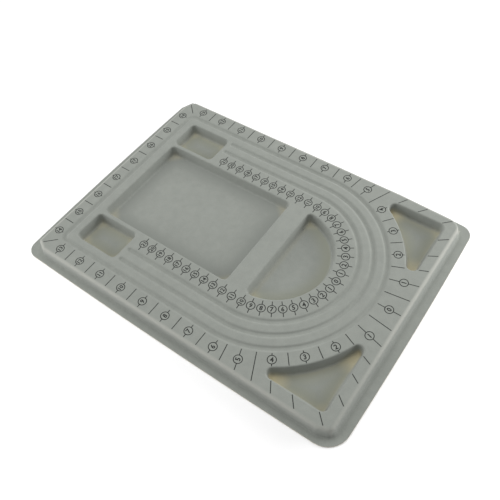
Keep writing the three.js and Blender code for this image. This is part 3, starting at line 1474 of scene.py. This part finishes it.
@dataclass
class InchScale(PrintedScale):
    """Outer scale, numbered both ways from the middle of the round end and across the square end."""

    turn: float = 7.6  # of each of the first half inches on the arc
    first_turns: int = 3
    later_turn: float = 7.06
    arc_marks: int = 5
    upright: int = 4  # last number whose top points to the arcs' centre
    straight_start: float = 10.2 * MM  # first mark of the straight legs, from the arcs' centre
    last: int = 13
    end_pitch: float = 26.3 * MM
    end_numbers: tuple[str, ...] = ("17", "16", "15", "14")
    pocket_least: float = 9 * MM  # stretch of a line over a corner pocket that interrupts the line
    pocket_lap: float = 0.5 * MM  # of a line over the rim of a corner pocket
    corner_start: Point = (12.5 * MM, 12.8 * MM)  # of a corner line, from the corner of the flat top
    corner_stop: Point = (2.5 * MM, 3.2 * MM)

    def draw(self) -> None:
        """Draws every mark of the scale."""
        for side in (-1, 1):
            self.draw_arc(side)
            self.draw_leg(side)
            self.draw_end(side)

    @staticmethod
    def label(half_inches: int) -> str:
        """Number of a mark, or nothing between two numbers."""
        return "" if half_inches % 2 else str(half_inches // 2)

    def draw_arc(self, side: int) -> None:
        """Draws the marks that point to the arcs' centre.

        Args:
            side: -1 for the near half of the board and 1 for the far half.
        """
        plan = self.plan
        centre = Vector((plan.centre_x, 0))
        first = 0 if side > 0 else 1
        for half in range(first, 2 * self.arc_marks + 2):
            wide = min(half, self.first_turns)
            angle = math.radians(wide * self.turn + (half - wide) * self.later_turn)
            out = Vector((math.cos(angle), side * math.sin(angle)))
            start = plan.outer_rim
            stop = self.edge(centre, out)
            pocket = self.pocket_stretch(angle)
            if pocket:
                self.stroke(centre + out * (pocket[1] - self.pocket_lap), centre + out * stop)
                stop = pocket[0] + self.pocket_lap
            top = self.across(out, side) if half > 2 * self.upright else -out
            self.mark(centre + out * start, centre + out * stop, self.label(half), top)

    def edge(self, start: Vector, out: Vector) -> float:
        """Length of a line from a point to the edge of the flat top.

        Args:
            start: The point.
            out: Direction of the line, one unit long.

        Returns:
            The length up to the first side that it meets.
        """
        sides = [side for side in self.plan.top.sides() if side.normal.dot(out) > PARALLEL]
        return min((side.reach - side.normal.dot(start)) / side.normal.dot(out) for side in sides)

    def pocket_stretch(self, angle: float) -> tuple[float, float] | None:
        """Stretch of a radius that a corner pocket takes up.

        Args:
            angle: Direction of the radius, in radians.

        Returns:
            Where the radius enters and leaves the pocket, or None where it passes the pocket by.
        """
        plan = self.plan
        edge_x = (plan.corner_x - plan.centre_x) / math.cos(angle)
        edge_y = plan.corner_y / max(math.sin(angle), PARALLEL)
        leave = min(edge_x, edge_y)
        return (plan.corner_arc, leave) if leave - plan.corner_arc > self.pocket_least else None

    def draw_leg(self, side: int) -> None:
        """Draws the marks along a long side.

        Args:
            side: -1 for the near side and 1 for the far side.
        """
        plan = self.plan
        for half in range(2 * self.arc_marks + 2, 2 * self.last + 1):
            steps = half - 2 * self.arc_marks - 2
            x = plan.centre_x + self.straight_start - steps * INCH / 2
            start = Vector((x, side * plan.outer_rim))
            stop = Vector((x, side * plan.top_y))
            self.mark(start, stop, self.label(half), SQUARE_END)

    def draw_end(self, side: int) -> None:
        """Draws half of the marks across the square end, and the line into its corner.

        Args:
            side: -1 for the near half and 1 for the far half.
        """
        plan = self.plan
        inner = plan.loop_end_x - plan.channel_half
        outer = -plan.top_x
        for step, number in enumerate(self.end_numbers):
            y = side * self.end_pitch * (step + 0.5)
            self.mark(Vector((inner, y)), Vector((outer, y)), number, SQUARE_END)
            if step or side > 0:
                y = side * self.end_pitch * step
                self.mark(Vector((inner, y)), Vector((outer, y)))
        corner_line = (self.corner_start, self.corner_stop)
        self.stroke(*(Vector((x - plan.top_x, side * (plan.top_y - y))) for x, y in corner_line))


@dataclass(frozen=True)
class Softbox:
    """Wide lamp that faces the board from a direction."""

    name: str
    azimuth: float
    elevation: float
    distance: float
    width: float
    height: float
    power: float  # watts

    def build(self) -> None:
        """Hangs the lamp."""
        azimuth, elevation = math.radians(self.azimuth), math.radians(self.elevation)
        level = math.cos(elevation)
        out = Vector((level * math.cos(azimuth), level * math.sin(azimuth), math.sin(elevation)))
        place = self.distance * out
        Bench.clear()
        bpy.ops.object.light_add(type="AREA", location=place)
        lamp = bpy.context.active_object
        lamp.name = self.name
        lamp.data.shape = "RECTANGLE"
        lamp.data.size = self.width
        lamp.data.size_y = self.height
        lamp.data.energy = self.power
        lamp.rotation_mode = "QUATERNION"
        lamp.rotation_quaternion = (-place).to_track_quat("-Z", "Y")


@dataclass(frozen=True)
class Studio:
    """Pale floor, soft light and the camera."""

    camera_place: Vector = Vector((0.2104, -0.24, 0.433))
    camera_target: Vector = Vector((0.0086, -0.0066, 0))
    camera_roll: float = -6.53
    lens: float = 41.64  # millimetres, as the sensor
    sensor: float = 36
    near_clip: float = 0.01
    floor_size: float = 6
    floor_grain: float = 80 * MM
    floor_colour: Colour = (0.93, 0.93, 0.93)
    floor_pale: Colour = (0.95, 0.95, 0.95)
    sky_colour: Colour = (1, 1, 1)
    sky_strength: float = 0.38
    softboxes: tuple[Softbox, ...] = (
        Softbox("overhead_softbox", 140, 73, distance=1.04, width=0.87, height=0.87, power=7.85),
        Softbox("back_softbox", 45, 15, distance=0.7, width=0.58, height=0.29, power=4.2),
        Softbox("front_softbox", 225, 17, distance=0.85, width=0.71, height=0.40, power=3.8),
    )

    def build(self) -> None:
        """Sets the scene."""
        self.floor()
        self.light()
        self.camera()

    def floor(self) -> None:
        """Lays the floor under the board."""
        Bench.clear()
        bpy.ops.mesh.primitive_plane_add(size=self.floor_size, location=(0, 0, 0))
        floor = bpy.context.active_object
        floor.name = "floor"
        graph = Graph("pale_floor")
        grain = graph.noise(graph.place(), self.floor_grain)
        colour = graph.mix(grain, self.floor_colour, self.floor_pale)
        Bench.paint(floor, graph.surface(Base_Color=colour, Roughness=0.9, Specular_IOR_Level=0.1))

    def light(self) -> None:
        """Adds a faint even sky and the softboxes."""
        world = bpy.data.worlds.new("soft_sky")
        world.use_nodes = True
        sky = world.node_tree.nodes["Background"]
        sky.inputs["Color"].default_value = opaque(self.sky_colour)
        sky.inputs["Strength"].default_value = self.sky_strength
        bpy.context.scene.world = world
        for softbox in self.softboxes:
            softbox.build()

    def camera(self) -> None:
        """Puts the camera where the board is seen from."""
        Bench.clear()
        bpy.ops.object.camera_add(location=self.camera_place)
        camera = bpy.context.active_object
        camera.name = "camera"
        camera.data.sensor_width = self.sensor
        camera.data.lens = self.lens
        camera.data.clip_start = self.near_clip
        camera.rotation_mode = "QUATERNION"
        aim = (self.camera_target - self.camera_place).to_track_quat("-Z", "Y")
        camera.rotation_quaternion = aim @ Quaternion((0, 0, 1), math.radians(self.camera_roll))
        scene = bpy.context.scene
        scene.camera = camera
        scene.view_settings.view_transform = "Standard"


def main() -> None:
    """Builds the board, prints its scales and sets the studio."""
    logging.basicConfig(level=logging.INFO, format="%(message)s")
    LOG.info("nodes of the frame: %s", ", ".join(sorted(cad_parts)))
    plan = BoardPlan.from_frame()
    under = plan.flock + plan.glue
    coat = FormedLayer("flock_skin", "flock_coat", Slot.FLOCK, plan, 0, plan.flock)
    sheet = FormedLayer("plastic_sheet", "formed_tray", Slot.PLASTIC, plan, under, plan.sheet)
    skin = coat.build()
    coat.dress(skin, FlockFinish().material(plan))
    shell = sheet.build()
    sheet.dress(shell, PlasticFinish().material())
    pieces = [skin, shell]
    ink = InkFinish().material()
    for scale in (InchScale("inch_scale_print", plan), CentimetreScale("centimetre_scale_print", plan)):
        film = scale.build(skin)
        scale.dress(film, ink)
        pieces.append(film)
    for piece in pieces:
        LOG.info("%s: %d faces", piece.name, len(piece.data.polygons))
    Studio().build()


if __name__ == "__main__":
    main()
